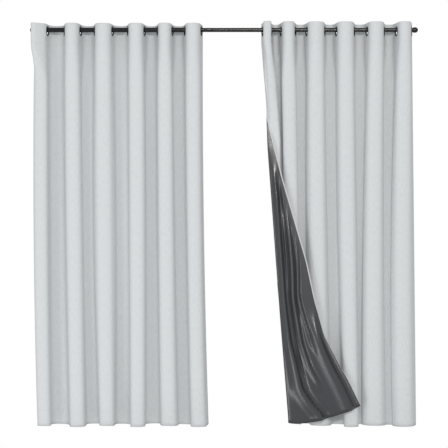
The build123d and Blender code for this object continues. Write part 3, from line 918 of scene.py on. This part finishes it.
def hang_panel(side):
    """Make the three layers and the stitching of one panel."""
    points, normals, uv, faces, grid, flap = panel_surface(side)
    rests = ["rod_outer_tube" if side == "left" else "rod_inner_tube"]
    rests += [f"{side}_grommet_{k + 1:02d}" for k in range(RINGS)]
    stitches = sew_panel(side, points, normals, grid, flap)
    face = new_piece(f"{side}_curtain_face", *wrapped_edges(points, normals, uv, faces, grid, flap))
    lining_points = hem_of_lining(points + normals * LINING_OUT, grid, bool(flap))
    lining = new_piece(f"{side}_curtain_lining", lining_points, faces, uv)
    tape = new_piece(f"{side}_curtain_tape", *cut_tape(points + normals * TAPE_OUT, uv, faces, grid))
    for piece, thickness, slot, node in (
        (face, FACE_THICKNESS, "pale_grey_cloth", f"{side}_face_cloth"),
        (lining, LINING_THICKNESS, "dark_grey_lining", f"{side}_lining"),
        (tape, TAPE_THICKNESS, "header_tape", f"{side}_header_tape"),
    ):
        thicken(piece, thickness)
        piece.data.materials.append(finish_named(slot))
        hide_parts(node)
        place_on_panel(piece)


# ---------------------------------------------------------------- the stage


def lay_floor(width):
    """An oval floor under the hems."""
    half = width / 2
    rim = [(half * math.cos(t), FLOOR_Y + half * FLOOR_DEPTH_SHARE * math.sin(t), HANG_Z - FLOOR_BELOW_HEM)
           for t in np.linspace(0, 2 * math.pi, FLOOR_SIDES, endpoint=False)]
    floor = new_piece("floor", rim, [tuple(range(FLOOR_SIDES))], smooth=False)
    material, _, bsdf = new_material("matt_pale_floor", Roughness=0.9)
    bsdf.inputs["Base Color"].default_value = linear("#E6E6E6")
    floor.data.materials.append(material)


def light_stage(scene):
    """A plain white surround that lights softly, a broad key light, and a card low on the left."""
    world = bpy.data.worlds.new("studio")
    scene.world = world
    world.use_nodes = True
    tree = world.node_tree
    glow = tree.nodes["Background"]
    glow.inputs["Strength"].default_value = WORLD_STRENGTH
    glow.inputs["Color"].default_value = WORLD_COLOUR
    seen = add_node(tree, "ShaderNodeBackground", {}, {"Color": (1, 1, 1, 1), "Strength": 1.0})
    ray = add_node(tree, "ShaderNodeLightPath")
    mix = add_node(tree, "ShaderNodeMixShader", {}, None,
                   {0: ray.outputs["Is Camera Ray"], 1: glow.outputs[0], 2: seen.outputs[0]})
    tree.links.new(mix.outputs[0], tree.nodes["World Output"].inputs["Surface"])
    for name, place, size, power, colour in LIGHTS:
        light = bpy.data.lights.new(name, "AREA")
        light.shape = "RECTANGLE"
        light.size, light.size_y = size
        light.energy = power
        light.color = colour
        lamp = bpy.data.objects.new(name, light)
        scene.collection.objects.link(lamp)
        lamp.location = place
        lamp.rotation_mode = "QUATERNION"
        lamp.rotation_quaternion = (Vector(LIGHT_AIM) - lamp.location).to_track_quat("-Z", "Y")


def place_camera(scene, distance, height):
    """A level camera, straight in front of the rod's middle."""
    camera = bpy.data.cameras.new("camera")
    camera.sensor_width = SENSOR_WIDTH
    camera.lens = LENS
    camera.clip_end = CLIP_END
    eye = bpy.data.objects.new("camera", camera)
    scene.collection.objects.link(eye)
    eye.location = (0.0, ring_centre("left", 1).y - distance, height)
    eye.rotation_euler = (math.radians(90), 0.0, 0.0)
    scene.camera = eye


# ---------------------------------------------------------------- operators


class CurtainSettings(bpy.types.PropertyGroup):
    """Sizes and colours that a user would change."""

    cloth_colour: StringProperty(
        name="Cloth colour", description="Colour of the face cloth, as a hex code", default="#E1E2E3")
    lining_colour: StringProperty(
        name="Lining colour", description="Colour of the lining, as a hex code", default="#3E3E42")
    stitch_pitch: FloatProperty(
        name="Stitch pitch", description="From one stitch to the next", default=STITCH_PITCH,
        min=0.001, unit="LENGTH")
    eye_distance: FloatProperty(
        name="Eye distance", description="From the camera to the rod", default=8.0, unit="LENGTH")
    eye_height: FloatProperty(
        name="Eye height", description="Camera height, measured from the rod", default=-1.024,
        unit="LENGTH")
    floor_size: FloatProperty(
        name="Floor size", description="Width of the floor", default=3.6, unit="LENGTH")


class CURTAIN_OT_stage(bpy.types.Operator):
    """Lay the floor, and set up the lights and the camera"""

    bl_idname = "curtain.stage"
    bl_label = "Stage"

    def execute(self, context):
        look = context.scene.curtains
        context.scene.view_settings.view_transform = "Standard"
        lay_floor(look.floor_size)
        light_stage(context.scene)
        place_camera(context.scene, look.eye_distance, look.eye_height)
        return {"FINISHED"}


class CURTAIN_OT_left_panel(bpy.types.Operator):
    """Hang the left panel: face cloth, lining, header tape and stitching"""

    bl_idname = "curtain.left_panel"
    bl_label = "Left panel"

    def execute(self, context):
        hang_panel("left")
        return {"FINISHED"}


class CURTAIN_OT_right_panel(bpy.types.Operator):
    """Hang the right panel, with its leading corner turned back"""

    bl_idname = "curtain.right_panel"
    bl_label = "Right panel"

    def execute(self, context):
        hang_panel("right")
        return {"FINISHED"}


class CURTAIN_OT_hardware(bpy.types.Operator):
    """Finish the rod, end caps, rings, brackets and lock screws"""

    bl_idname = "curtain.hardware"
    bl_label = "Hardware"

    def execute(self, context):
        finishes = {
            "grommet": "black_grommet", "end_cap": "black_cap", "tube": "black_tube",
            "bracket": "black_bracket", "lock_screw": "black_screw",
        }
        for name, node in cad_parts.items():
            for word, slot in finishes.items():
                if word in name:
                    made = finish_named(slot)
                    if not node.material_slots:
                        raise RuntimeError(f"{name} has no material slot")
                    for material_slot in node.material_slots:
                        material_slot.material = made
        return {"FINISHED"}


class CURTAIN_PT_panel(bpy.types.Panel):
    """Shows the curtains' settings and a button for each operator"""

    bl_label = "Curtains"
    bl_idname = "CURTAIN_PT_panel"
    bl_space_type = "VIEW_3D"
    bl_region_type = "UI"
    bl_category = "Curtains"

    def draw(self, context):
        for name in ("cloth_colour", "lining_colour", "stitch_pitch", "eye_distance", "eye_height",
                     "floor_size"):
            self.layout.prop(context.scene.curtains, name)
        for operator in OPERATORS:
            self.layout.operator(operator.bl_idname)


OPERATORS = (CURTAIN_OT_stage, CURTAIN_OT_left_panel, CURTAIN_OT_right_panel, CURTAIN_OT_hardware)
CLASSES = (CurtainSettings, *OPERATORS, CURTAIN_PT_panel)


def register():
    """Register the settings, the operators and the panel"""
    for item in CLASSES:
        bpy.utils.register_class(item)
    bpy.types.Scene.curtains = PointerProperty(type=CurtainSettings)


def unregister():
    """Take them away again"""
    del bpy.types.Scene.curtains
    for item in reversed(CLASSES):
        bpy.utils.unregister_class(item)


def main():
    """Make every piece in order"""
    register()
    bpy.ops.curtain.stage()
    bpy.ops.curtain.left_panel()
    bpy.ops.curtain.right_panel()
    bpy.ops.curtain.hardware()


if __name__ == "__main__":
    main()
